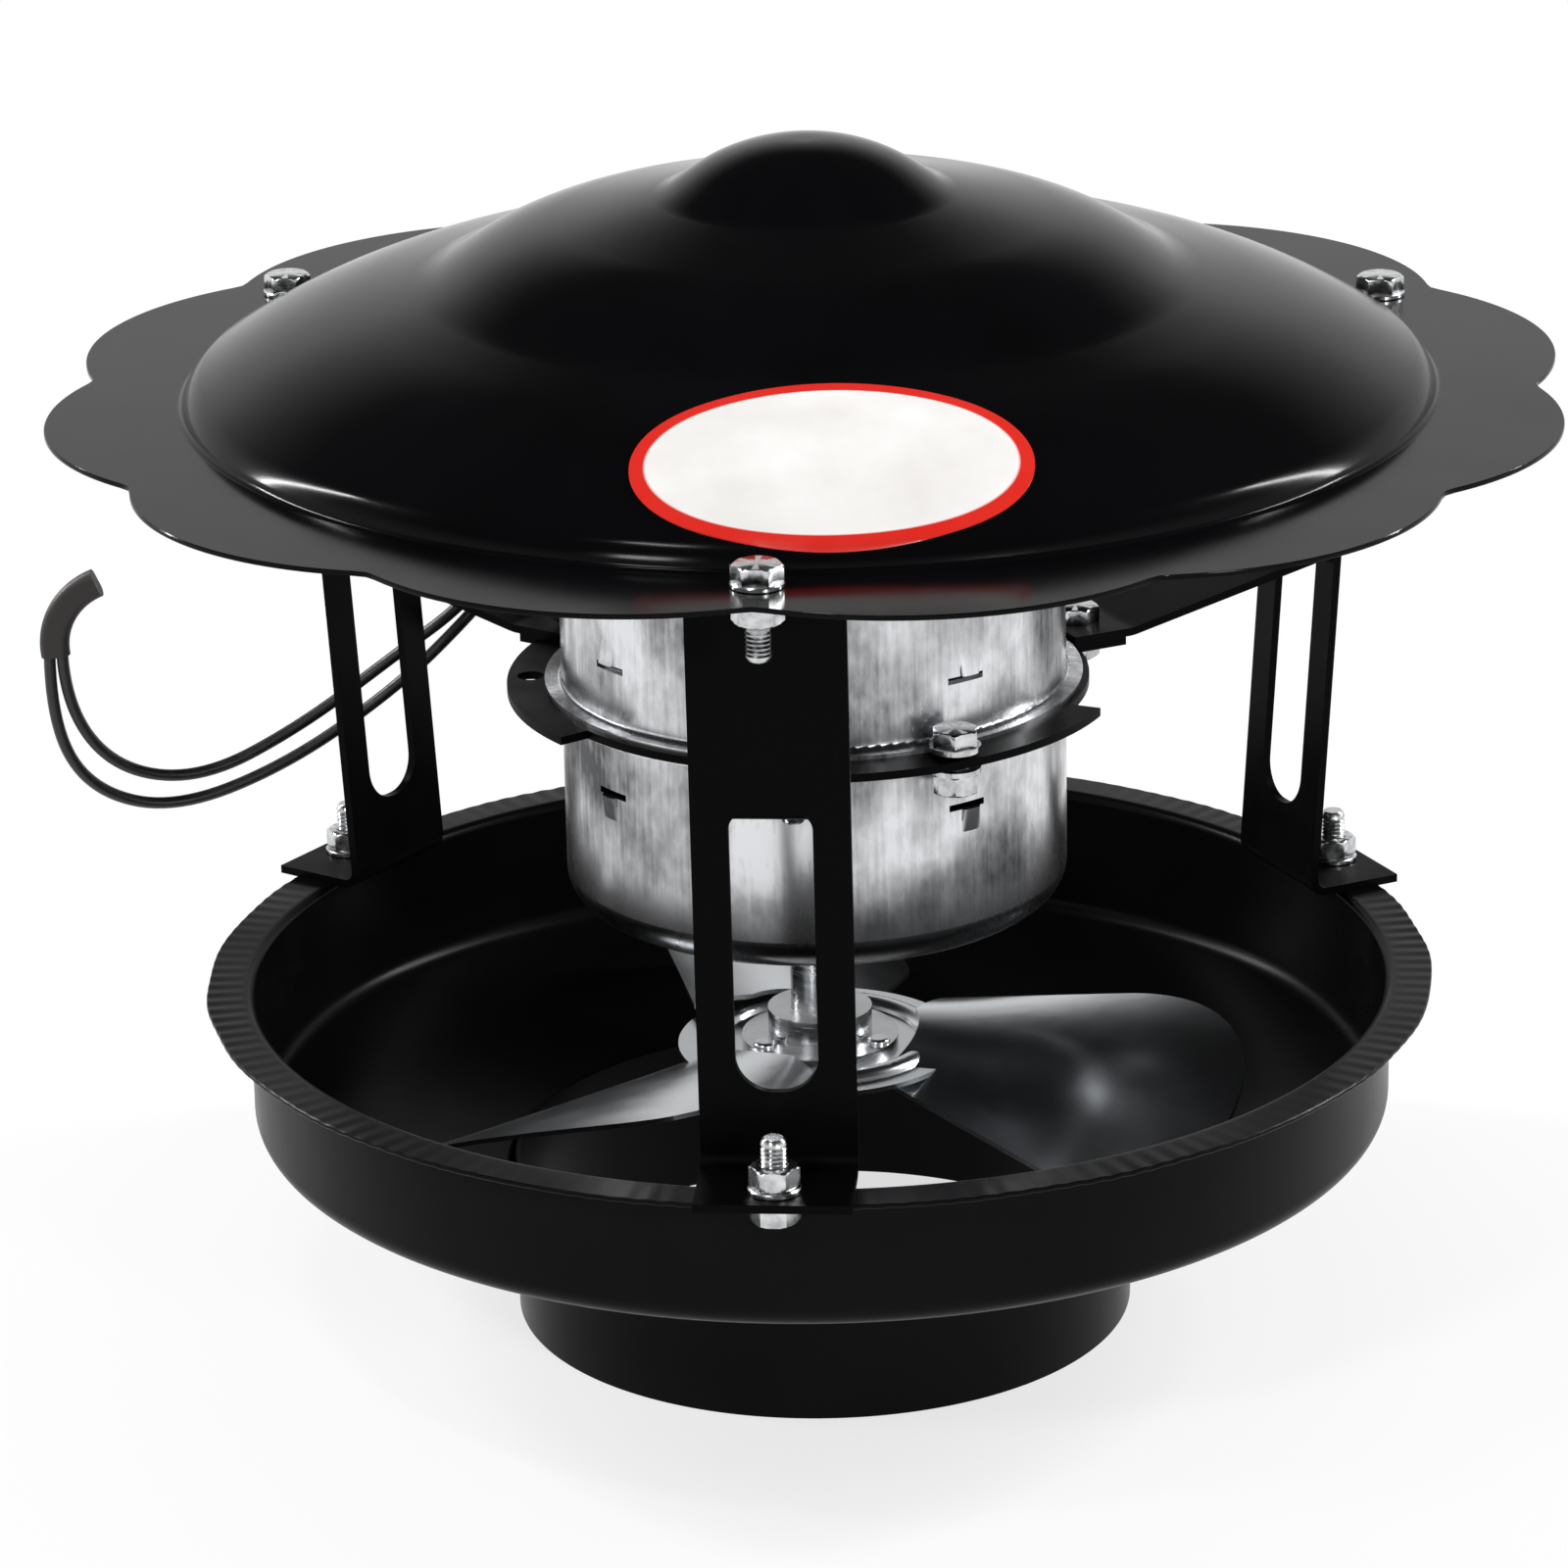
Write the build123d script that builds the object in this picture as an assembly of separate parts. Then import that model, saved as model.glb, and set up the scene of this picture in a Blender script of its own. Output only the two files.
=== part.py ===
"""Chimney exhaust fan: a motor fan on a flue collar, under a scalloped rain cap on three legs.

Millimetres, +Z up. The origin is the centre of the collar's lower edge, and the front leg is at -Y.
"""
from build123d import *
import math
import os

# Flue collar and base pan
NECK_R = 75.0
NECK_T = 1.2
NECK_TOP_OVER_FLOOR = 3.0
LIP_GAP = 0.1
LIP_LENGTH = 10.0
LIP_BEND_R = 2.0
FLOOR_Z = 36.0
FLOOR_RISE = 16.0
PAN_R = 137.4
PAN_T = 1.2
PAN_WALL_H = 33.6
PAN_CORNER_R = 6.0
RIM_W = 9.8
RIM_BEND_R = 0.5

# Legs, angles counter-clockwise from +X
LEG_ANGLES = {"front": 270, "right": 30, "left": 150}
LEG_W = 35.3
LEG_T = 2.0
LEG_H = 145.1
LEG_BEND_R = 4.5
LEG_FOOT_IN = 10.9
LEG_FOOT_LENGTH = 25.0
LEG_FLANGE_LENGTH = 26.5
SLOT_W = 18.5
SLOT_FOOT_GAP = 20.0
SLOT_H = 67.5
SLOT_TOP_R = 4.0
SLOT_END_R = 8.5

# Cap: a brim with scallops, and dome tiers (radius, height over the brim, blend radius) from the knob out
CAP_T = 1.2
BRIM_R = 178.5
LOBES = 12
LOBE_R = 70.0
CUSP_R = 4.0
CAP_BOLT_IN = 23.5
CAP_BOLT_OUT = 18.5
DOME_BOLT_GAP = 8.4
UPPER_TIER_IN = 76.7
UPPER_FOOT_IN = 58.1
LOWER_TIER_IN = 26.1
DOME_EDGE_IN = 1.7
CUT_MARGIN = 10.0
CAP_BOLT_R = BRIM_R - CAP_BOLT_IN
DOME_R = CAP_BOLT_R - DOME_BOLT_GAP
KNOB = (15.3, 58.7, 44.0)
KNOB_FOOT = (33.5, 46.4, 14.0)
UPPER_TIER = (DOME_R - UPPER_TIER_IN, 38.4, 70.0)
UPPER_FOOT = (DOME_R - UPPER_FOOT_IN, 26.9, 25.0)
LOWER_TIER = (DOME_R - LOWER_TIER_IN, 18.9, 130.0)
DOME_EDGE = (DOME_R - DOME_EDGE_IN, 4.75, 10.0)
DOME_FOOT = (DOME_R, 0.0, 1.5)

# Oval label
LABEL_W = 88.0
LABEL_H = 57.0
LABEL_T = 0.3
LABEL_IN = 28.1
LABEL_ANGLE = 276.6

# Screws
BOLT_R = 3.0
BOLT_AF = 10.0
HEAD_H = 4.0
NUT_H = 5.0
HEX_CHAMFER = 0.5
WASHER_R = 6.0
WASHER_T = 1.2
HOLE_GAP = 0.2
DRILL_REACH = 8.0
THREAD_GAP = 0.05
HEAD_WALL_GAP = 0.8
CAP_BOLT_LENGTH = 18.0
FOOT_BOLT_LENGTH = 16.0
ARM_BOLT_LENGTH = 14.0
CAN_BOLT_LENGTH = 12.0

# Motor
MOTOR_RISE = 72.4
CAN_R = 60.0
CAN_T = 1.0
CAN_H = 52.0
CAN_CORNER_R = 8.0
CAN_BORE_BEND_R = 2.0
CAN_FLANGE_BEND_R = 1.0
CAN_FLANGE_W = 4.0
TAB_W = 10.0
TAB_H = 1.6
TAB_DROP = 14.5
TAB_ANGLES = (222, 310, 40, 130)
PLATE_T = 2.0
PLATE_BORE_GAP = 0.2
PLATE_RING_W = 1.5
EAR_W = 9.0
EAR_ANGLES = (280.6, 340.6)
LUG_OUT = 14.0
ARM_BOLT_OUT = 6.6
CAN_BOLT_GAP = 0.5
CAN_BOLT_TURN = 32.7
STATOR_GAP = 0.15
STATOR_H = 30.5
STATOR_YOKE = 9.0
POLE_W = 18.0
SHOE_T = 4.0
SHOE_ANGLE = 64
COIL_W = 6.5
COIL_FIT = 0.2
COIL_DEPTH = 15.35
AIR_GAP = 0.4
SHAFT_R = 7.0
SHAFT_FIT = 0.05
SEAT_FIT = 0.02
BUSH_T = 4.0
BUSH_H = 12.0
SHAFT_TAIL = 3.0
SHAFT_TOP_GAP = 2.0
SHAFT_CHAMFER = 0.6
ROTOR_END_H = 4.0
ROTOR_END_IN = 2.0
ROTOR_END_WALL = 6.0

# Arms between the motor plate and the legs
ARM_W = 24.0
ARM_T = 2.0
ARM_FLAT = 15.8
ARM_SLOPE = 0.204
ARM_TAB = 22.0
ARM_BEND_R = 3.0
ARM_KNEE_R = 12.0
ARM_CAN_GAP = 0.2

# Fan
FAN_DROP = 93.0
FAN_ANGLES = (96.6, 216.6, 336.6)
FAN_T = 1.2
DISC_R = 34.5
BEAD_R = 26.5
BEAD_W = 5.0
BEAD_H = 2.0
BEAD_FOOT_R = 0.8
BEAD_CREST_R = 1.5
FAN_BORE_GAP = 0.3
HUB_R = 12.6
HUB_H = 9.0
HUB_FLANGE_R = 19.0
HUB_FLANGE_T = 2.0
RIVET_R = 1.6
RIVET_HEAD_R = 2.9
RIVET_HEAD_H = 1.2
RIVET_CROWN_R = 0.96
SET_SCREW_R = 2.0
BLADE_ROOT = 18.0
BLADE_TIP = 108.0
BLADE_CAMBER = 4.0
LEAD_ROOT = (-11.0, -1.0)
LEAD_TIP = (-33.0, -20.5)
TRAIL_ROOT = (30.0, 3.0)
TRAIL_TIP = (47.5, 14.0)
LEAD_CORNER_R = 25.0
TRAIL_CORNER_R = 38.0
BLADE_OVERRUN = 4.0

# Lead wires: routes from the grommet to the sleeve
LEAD_D = 3.0
GROMMET_ANGLE = 134.6
GROMMET_RISE = 37.0
GROMMET_R = 5.0
GROMMET_FLANGE_R = 7.0
GROMMET_FLANGE_T = 2.4
GROMMET_FIT = 0.05
GROMMET_STANDOFF = 0.1
LEAD_BEND_SHARE = 0.45
INNER_ROUTE = (
    (-43.9, 44.5, 197.0), (-55.9, 56.6, 197.0), (-73.0, 70.0, 178.0), (-93.0, 83.0, 150.5),
    (-112.5, 90.5, 134.5), (-135.5, 81.5, 120.5), (-158.5, 71.5, 111.0), (-176.5, 60.0, 116.5),
    (-187.5, 51.0, 134.0), (-190.0, 47.5, 147.5),
)
OUTER_ROUTE = (
    (-43.9, 44.5, 193.0), (-55.9, 56.6, 193.0), (-73.0, 71.5, 172.0), (-93.0, 85.0, 146.0),
    (-112.5, 92.0, 125.5), (-139.0, 81.0, 110.5), (-165.0, 71.0, 103.0), (-182.5, 59.5, 111.0),
    (-191.5, 51.0, 129.5), (-193.2, 47.5, 147.5),
)
SLEEVE_ARC = ((-191.6, 47.5, 147.5), (-188.5, 46.0, 160.0), (-180.0, 45.5, 167.0))
SLEEVE_W = 7.4
SLEEVE_T = 4.2

# Heights and radii that follow
WALL_Z = FLOOR_Z + FLOOR_RISE
RIM_Z = WALL_Z + PAN_WALL_H
BRIM_LOW = RIM_Z + LEG_H
BRIM_Z = BRIM_LOW + CAP_T
WEB_R = PAN_R - LEG_FOOT_IN
FOOT_BOLT_R = PAN_R + BOLT_AF / 2 + HEAD_WALL_GAP
LEG_LEAN = CAP_BOLT_R - CAP_BOLT_OUT - WEB_R
PLATE_Z = RIM_Z + MOTOR_RISE
PLATE_TOP = PLATE_Z + PLATE_T
MID_Z = PLATE_Z + PLATE_T / 2
FLANGE_R = CAN_R + CAN_FLANGE_W
BUSH_R = SHAFT_R + SHAFT_FIT + BUSH_T
ARM_BOLT_R = FLANGE_R + ARM_BOLT_OUT
CAN_BOLT_R = FLANGE_R + BOLT_R + CAN_BOLT_GAP
YOKE_R = CAN_R - CAN_T - STATOR_GAP - STATOR_YOKE
ROTOR_R = YOKE_R - COIL_DEPTH - SHOE_T - AIR_GAP
LABEL_R = DOME_R - LABEL_IN
FAN_Z = PLATE_Z - FAN_DROP
HUB_BORE = SHAFT_R + SEAT_FIT
HUB_Z = FAN_Z + FAN_T
BASE = (Align.CENTER, Align.CENTER, Align.MIN)


def limited(points, radii):
    """Corner radii cut down to what the runs between the corners can hold."""
    points = [Vector(*p) for p in points]
    runs = [b - a for a, b in zip(points, points[1:])]
    halves = [math.radians(a.get_angle(b) / 2) for a, b in zip(runs, runs[1:])]
    tangents = [0] + [r * math.tan(h) for r, h in zip(radii, halves)] + [0]
    shares = [min(1, 0.95 * run.length / max(a + b, 1e-6)) for run, a, b in zip(runs, tangents, tangents[1:])]
    return [r * min(a, b) for r, a, b in zip(radii, shares, shares[1:])]


def strip(points, radii, thickness, side):
    """Section of bent sheet: a path with eased corners, thickened to one side."""
    path = FilletPolyline(*points, radius=limited(points, radii))
    return Plane.XZ * make_face(offset(path, thickness, side=side, closed=True).edges())


def spun(points, radii, thickness, side=Side.LEFT):
    """Round sheet piece."""
    return revolve(strip(points, radii, thickness, side), Axis.Z)


def tube(outer, inner, low, high):
    """Plain ring between two heights."""
    return Pos(0, 0, low) * extrude(Circle(outer) - Circle(inner), high - low)


def around(piece, radius, height, angles):
    """Copies of a piece at one radius and height, as separate solids."""
    return Compound([s for a in angles for s in (Rot(0, 0, a) * Pos(radius, 0, height) * piece).solids()])


def drill(piece, hole_r, radius, height, angles):
    """Upright holes through the sheet at a height."""
    for angle in angles:
        piece -= Rot(0, 0, angle) * Pos(radius, 0, height) * Cylinder(hole_r, 2 * DRILL_REACH)
    return piece


def web_radius(height):
    """Inner face of a leg's leaning web at a height."""
    return WEB_R + LEG_LEAN * (height - RIM_Z) / LEG_H


def base_pan():
    lip = NECK_R + LIP_GAP + PAN_T
    rim_low = RIM_Z - PAN_T
    points = [
        (lip, FLOOR_Z - LIP_LENGTH), (lip, FLOOR_Z), (PAN_R, WALL_Z), (PAN_R, rim_low),
        (PAN_R + RIM_W, rim_low),
    ]
    pan = spun(points, [LIP_BEND_R, PAN_CORNER_R, RIM_BEND_R], PAN_T)
    return drill(pan, BOLT_R + HOLE_GAP, FOOT_BOLT_R, RIM_Z, LEG_ANGLES.values())


def neck_collar():
    return tube(NECK_R, NECK_R - NECK_T, 0, FLOOR_Z + NECK_TOP_OVER_FLOOR)


def leg(angle):
    points = [
        (WEB_R + LEG_FOOT_LENGTH, RIM_Z), (WEB_R, RIM_Z), (WEB_R + LEG_LEAN, BRIM_LOW),
        (WEB_R + LEG_LEAN + LEG_FLANGE_LENGTH, BRIM_LOW),
    ]
    section = strip(points, [LEG_BEND_R, LEG_BEND_R], LEG_T, Side.RIGHT)
    body = extrude(section, LEG_W / 2, both=True)
    slot = Rectangle(SLOT_W, SLOT_H)
    slot = fillet(slot.vertices().group_by(Axis.Y)[-1], SLOT_TOP_R)
    slot = fillet(slot.vertices().group_by(Axis.Y)[0], SLOT_END_R)
    middle = RIM_Z + SLOT_FOOT_GAP + SLOT_H / 2
    body -= extrude(Plane.YZ.offset(WEB_R - LEG_FOOT_IN) * Pos(0, middle) * slot, 3 * LEG_FOOT_IN)
    body = drill(body, BOLT_R + HOLE_GAP, FOOT_BOLT_R, RIM_Z, [0])
    body = drill(body, BOLT_R + HOLE_GAP, CAP_BOLT_R, BRIM_LOW, [0])
    return Rot(0, 0, angle) * body


def dome_points():
    tiers = [KNOB, KNOB_FOOT, UPPER_TIER, UPPER_FOOT, LOWER_TIER, DOME_EDGE, DOME_FOOT]
    points = [(0, BRIM_Z + KNOB[1])] + [(r, BRIM_Z + h) for r, h, _ in tiers]
    points.append((BRIM_R + CUT_MARGIN, BRIM_Z))
    return points, [blend for _, _, blend in tiers]


def cap():
    points, radii = dome_points()
    lobe = Pos(BRIM_R - LOBE_R, 0) * Circle(LOBE_R)
    outline = Circle(BRIM_R - LOBE_R)
    for k in range(LOBES):
        outline += Rot(0, 0, (k + 0.5) * 360 / LOBES) * lobe
    outline = fillet(outline.vertices(), CUSP_R)
    sheet = spun(points, radii, CAP_T, Side.RIGHT)
    sheet &= Pos(0, 0, BRIM_LOW - CAP_T) * extrude(outline, KNOB[1] + CUT_MARGIN)
    return drill(sheet, BOLT_R + HOLE_GAP, CAP_BOLT_R, BRIM_LOW, LEG_ANGLES.values())


def oval_label():
    points, radii = dome_points()
    radii = limited(points, radii)
    top = points.index((UPPER_TIER[0], BRIM_Z + UPPER_TIER[1]))
    skin = spun(points[top:], radii[top:], LABEL_T)
    fall = math.atan2(LOWER_TIER[1] - DOME_EDGE[1], DOME_EDGE[0] - LOWER_TIER[0])
    height = BRIM_Z + DOME_EDGE[1] + (DOME_EDGE[0] - LABEL_R) * math.tan(fall)
    facing = Plane(origin=(LABEL_R, 0, height), x_dir=(0, 1, 0), z_dir=(math.sin(fall), 0, math.cos(fall)))
    oval = facing * Ellipse(LABEL_W / 2, LABEL_H / 2)
    return skin & (Rot(0, 0, LABEL_ANGLE) * extrude(oval, LABEL_H / 2, both=True))


def hex_body(height):
    """Hexagon with a chamfered top, one flat towards the axis."""
    blank = Cylinder(BOLT_AF / math.sqrt(3), height, align=BASE)
    blank = chamfer(blank.edges().sort_by(Axis.Z)[-1], HEX_CHAMFER)
    return blank & extrude(RegularPolygon(BOLT_AF / 2, 6, major_radius=False, rotation=30), height)


def bolt(length):
    """Bolt with its head on z = 0 and its shank below."""
    return hex_body(HEAD_H) + Pos(0, 0, -length) * Cylinder(BOLT_R, length, align=BASE)


def nut():
    return hex_body(NUT_H) - Cylinder(BOLT_R + THREAD_GAP, 4 * NUT_H)


def washer():
    return tube(WASHER_R, BOLT_R + HOLE_GAP, 0, WASHER_T)


def cap_screws():
    angles = LEG_ANGLES.values()
    return {
        "cap_washers": around(washer(), CAP_BOLT_R, BRIM_Z, angles),
        "cap_bolts": around(bolt(CAP_BOLT_LENGTH), CAP_BOLT_R, BRIM_Z + WASHER_T, angles),
        "cap_nuts": around(Rot(180, 0, 0) * nut(), CAP_BOLT_R, BRIM_LOW - LEG_T, angles),
    }


def foot_screws():
    angles = LEG_ANGLES.values()
    foot_top = RIM_Z + LEG_T
    return {
        "foot_bolts": around(Rot(180, 0, 0) * bolt(FOOT_BOLT_LENGTH), FOOT_BOLT_R, RIM_Z - PAN_T, angles),
        "foot_washers": around(washer(), FOOT_BOLT_R, foot_top, angles),
        "foot_nuts": around(nut(), FOOT_BOLT_R, foot_top + WASHER_T, angles),
    }


def arm_screws():
    angles = LEG_ANGLES.values()
    return {
        "arm_bolts": around(bolt(ARM_BOLT_LENGTH), ARM_BOLT_R, PLATE_TOP + ARM_T, angles),
        "arm_nuts": around(Rot(180, 0, 0) * nut(), ARM_BOLT_R, PLATE_Z, angles),
    }


def can_bolt_angles():
    """One clamp bolt in the right and rear ears; the left ear's hole is empty."""
    return [LEG_ANGLES["front"] + CAN_BOLT_TURN + 120 * k for k in range(3)]


def can_screws():
    angles = can_bolt_angles()[:2]
    above = PLATE_TOP + CAN_T
    below = PLATE_Z - CAN_T
    washers = around(washer(), CAN_BOLT_R, above, angles).solids()
    washers += around(washer(), CAN_BOLT_R, below - WASHER_T, angles).solids()
    return {
        "can_washers": Compound(washers),
        "can_bolts": around(bolt(CAN_BOLT_LENGTH), CAN_BOLT_R, above + WASHER_T, angles),
        "can_nuts": around(Rot(180, 0, 0) * nut(), CAN_BOLT_R, below - WASHER_T, angles),
    }


def lower_can():
    floor = PLATE_Z - CAN_H
    flange = PLATE_Z - CAN_T
    points = [
        (BUSH_R + SEAT_FIT, floor + BUSH_H), (BUSH_R + SEAT_FIT, floor), (CAN_R, floor),
        (CAN_R, flange), (FLANGE_R, flange),
    ]
    can = spun(points, [CAN_BORE_BEND_R, CAN_CORNER_R, CAN_FLANGE_BEND_R], CAN_T)
    for angle in TAB_ANGLES:
        can -= Rot(0, 0, angle) * Pos(CAN_R, 0, PLATE_Z - TAB_DROP) * Box(6 * CAN_T, TAB_W, TAB_H)
    return can


def upper_can():
    can = mirror(lower_can(), Plane.XY.offset(MID_Z))
    hole = Rot(0, 90, 0) * Cylinder(GROMMET_R + GROMMET_FIT, 6 * CAN_T)
    return can - Rot(0, 0, GROMMET_ANGLE) * Pos(CAN_R, 0, PLATE_Z + GROMMET_RISE) * hole


def lead_grommet():
    body = Cylinder(GROMMET_R, 4 * CAN_T, align=(Align.CENTER, Align.CENTER, Align.MAX))
    body += Pos(0, 0, GROMMET_STANDOFF) * Cylinder(GROMMET_FLANGE_R, GROMMET_FLANGE_T, align=BASE)
    body += Cylinder(GROMMET_R, GROMMET_FLANGE_T, align=BASE)
    return Rot(0, 0, GROMMET_ANGLE) * Pos(CAN_R, 0, PLATE_Z + GROMMET_RISE) * Rot(0, 90, 0) * body


def ear():
    """Part of the plate that stands out past the can flanges between two angles."""
    first, last = EAR_ANGLES
    reach = 2 * FLANGE_R
    corners = [(0, 0)]
    for angle in (first, (first + last) / 2, last):
        corners.append((reach * math.cos(math.radians(angle)), reach * math.sin(math.radians(angle))))
    return Circle(FLANGE_R + EAR_W) & make_face(Polyline(*corners, close=True))


def motor_plate():
    outline = Circle(FLANGE_R + PLATE_RING_W)
    for k in range(3):
        outline += Rot(0, 0, 120 * k) * ear()
    for angle in LEG_ANGLES.values():
        outline += Rot(0, 0, angle) * Pos((FLANGE_R + LUG_OUT) / 2, 0) * Rectangle(FLANGE_R + LUG_OUT, ARM_W)
    outline -= Circle(CAN_R - CAN_T + PLATE_BORE_GAP)
    plate = Pos(0, 0, PLATE_Z) * extrude(outline, PLATE_T)
    plate = drill(plate, BOLT_R + HOLE_GAP, ARM_BOLT_R, PLATE_Z, LEG_ANGLES.values())
    return drill(plate, BOLT_R + HOLE_GAP, CAN_BOLT_R, PLATE_Z, can_bolt_angles())


def arm(angle):
    start = FLANGE_R + ARM_CAN_GAP
    knee = start + ARM_FLAT
    lean = LEG_LEAN / LEG_H
    reach = (web_radius(PLATE_TOP) - lean * ARM_SLOPE * knee) / (1 - lean * ARM_SLOPE)
    end_z = PLATE_TOP + ARM_SLOPE * (reach - knee)
    tab_z = end_z + ARM_TAB
    points = [(start, PLATE_TOP), (knee, PLATE_TOP), (reach, end_z), (web_radius(tab_z), tab_z)]
    section = strip(points, [ARM_KNEE_R, ARM_BEND_R], ARM_T, Side.LEFT)
    body = extrude(section, ARM_W / 2, both=True)
    body = drill(body, BOLT_R + HOLE_GAP, ARM_BOLT_R, PLATE_TOP, [0])
    return Rot(0, 0, angle) * body


def stator_core():
    outer = CAN_R - CAN_T - STATOR_GAP
    bore = ROTOR_R + AIR_GAP
    section = Circle(outer) - Circle(outer - STATOR_YOKE)
    half = SHOE_ANGLE / 2
    wedge = make_face(Polyline((0, 0), (outer, -outer * math.tan(math.radians(half))),
                               (outer, outer * math.tan(math.radians(half))), close=True))
    pole = Pos(outer / 2, 0) * Rectangle(outer - STATOR_YOKE / 2, POLE_W)
    pole += Circle(bore + SHOE_T) & wedge
    for k in range(4):
        section += Rot(0, 0, 45 + 90 * k) * pole
    section -= Circle(bore)
    section &= Circle(outer)
    return Pos(0, 0, MID_Z - STATOR_H / 2) * extrude(section, STATOR_H)


def stator_coils():
    inner = ROTOR_R + AIR_GAP + SHOE_T + COIL_FIT
    width = POLE_W + 2 * COIL_FIT
    outer = math.sqrt(YOKE_R**2 - (width / 2 + COIL_W) ** 2) - COIL_FIT
    height = STATOR_H + 2 * COIL_FIT
    coil = Box(outer - inner, width + 2 * COIL_W, height + 2 * COIL_W)
    coil = fillet(coil.edges().filter_by(Axis.X), COIL_W / 2)
    coil -= Box(2 * outer, width, height)
    return around(coil, (inner + outer) / 2, MID_Z, [45, 135, 225, 315])


def bearing(low):
    return tube(BUSH_R, SHAFT_R + SHAFT_FIT, low, low + BUSH_H)


def motor_shaft():
    low = FAN_Z - SHAFT_TAIL
    shaft = Pos(0, 0, low) * Cylinder(SHAFT_R, PLATE_TOP + CAN_H - SHAFT_TOP_GAP - low, align=BASE)
    return chamfer(shaft.edges().filter_by(GeomType.CIRCLE), SHAFT_CHAMFER)


def rotor_core():
    half = STATOR_H / 2
    core = tube(ROTOR_R, HUB_BORE, MID_Z - half, MID_Z + half)
    half += ROTOR_END_H
    return core + tube(ROTOR_R - ROTOR_END_IN, HUB_BORE + ROTOR_END_WALL, MID_Z - half, MID_Z + half)


def fan_hub():
    collar = tube(HUB_R, HUB_BORE, HUB_Z, HUB_Z + HUB_H)
    collar += tube(HUB_FLANGE_R, HUB_BORE, HUB_Z, HUB_Z + HUB_FLANGE_T)
    collar = drill(collar, RIVET_R, rivet_radius(), HUB_Z, FAN_ANGLES)
    return collar - set_screw_blank(SET_SCREW_R + SEAT_FIT)


def rivet_radius():
    return (HUB_R + HUB_FLANGE_R) / 2


def hub_rivets():
    grip = FAN_T + HUB_FLANGE_T
    head = Cylinder(RIVET_HEAD_R, RIVET_HEAD_H, align=BASE)
    head = fillet(head.edges().sort_by(Axis.Z)[-1], RIVET_CROWN_R)
    rivet = Cylinder(RIVET_R - SEAT_FIT, grip, align=BASE)
    rivet += Pos(0, 0, grip) * head
    rivet += Rot(180, 0, 0) * head
    return around(rivet, rivet_radius(), FAN_Z, FAN_ANGLES)


def set_screw_blank(radius):
    height = HUB_Z + (HUB_FLANGE_T + HUB_H) / 2
    length = HUB_R - HUB_BORE
    blank = Rot(0, 90, 0) * Cylinder(radius, length, align=BASE)
    return Rot(0, 0, LEG_ANGLES["front"]) * Pos(HUB_BORE, 0, height) * blank


def blade_section(along):
    """Thin curved section across a blade, at a distance from the fan's axis."""
    share = (along - BLADE_ROOT) / (BLADE_TIP - BLADE_ROOT)
    lead = Vector(*LEAD_ROOT) + (Vector(*LEAD_TIP) - Vector(*LEAD_ROOT)) * share
    trail = Vector(*TRAIL_ROOT) + (Vector(*TRAIL_TIP) - Vector(*TRAIL_ROOT)) * share
    middle = (lead + trail) / 2 + Vector(0, BLADE_CAMBER)
    up = Vector(0, FAN_T)
    edges = [
        ThreePointArc(lead, middle, trail), Line(trail, trail + up),
        ThreePointArc(trail + up, middle + up, lead + up), Line(lead + up, lead),
    ]
    return Plane.YZ.offset(along) * Pos(0, FAN_Z) * make_face(edges)


def blade():
    ends = [blade_section(BLADE_ROOT), blade_section(BLADE_TIP + BLADE_OVERRUN)]
    sheet = loft(ends, ruled=True)
    corners = [
        (BLADE_ROOT - FAN_T, LEAD_ROOT[0]), (BLADE_TIP, LEAD_TIP[0]),
        (BLADE_TIP, TRAIL_TIP[0]), (BLADE_ROOT - FAN_T, TRAIL_ROOT[0]),
    ]
    outline = make_face(Polyline(*corners, close=True))
    tips = outline.vertices().group_by(Axis.X)[-1].sort_by(Axis.Y)
    outline = fillet(tips[0], LEAD_CORNER_R)
    tips = outline.vertices().sort_by(Axis.Y)
    outline = fillet(tips[-1], TRAIL_CORNER_R)
    return sheet & Pos(0, 0, FAN_Z) * extrude(outline, FAN_DROP / 2, both=True)


def fan_blades():
    bead = BEAD_W / 2
    points = [
        (HUB_BORE + FAN_BORE_GAP, FAN_Z), (BEAD_R - bead, FAN_Z), (BEAD_R - bead / 2, FAN_Z + BEAD_H),
        (BEAD_R + bead / 2, FAN_Z + BEAD_H), (BEAD_R + bead, FAN_Z), (DISC_R, FAN_Z),
    ]
    fan = spun(points, [BEAD_FOOT_R, BEAD_CREST_R, BEAD_CREST_R, BEAD_FOOT_R], FAN_T)
    one = blade()
    bore = Pos(0, 0, FAN_Z) * Cylinder(BEAD_R - bead, FAN_DROP)
    one -= bore
    for angle in FAN_ANGLES:
        fan += Rot(0, 0, angle) * one
    return drill(fan, RIVET_R, rivet_radius(), FAN_Z, FAN_ANGLES)


def lead(route):
    """Wire along straight runs joined by arcs as large as the runs allow."""
    points = [Vector(*p) for p in route]
    runs = [b - a for a, b in zip(points, points[1:])]
    radii = []
    for a, b in zip(runs, runs[1:]):
        half = math.radians(a.get_angle(b) / 2)
        radii.append(LEAD_BEND_SHARE * min(a.length, b.length) / math.tan(half))
    path = FilletPolyline(*points, radius=radii)
    wire = sweep(Plane(origin=points[0], z_dir=runs[0]) * Circle(LEAD_D / 2), path=path)
    print("lead length", round(path.length, 1), "tightest bend", round(min(radii), 1))
    return wire


def lead_sleeve():
    path = ThreePointArc(*SLEEVE_ARC)
    start = Plane(origin=path @ 0, x_dir=(1, 0, 0), z_dir=path % 0)
    return sweep(start * SlotOverall(SLEEVE_W, SLEEVE_T), path=path)


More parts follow.
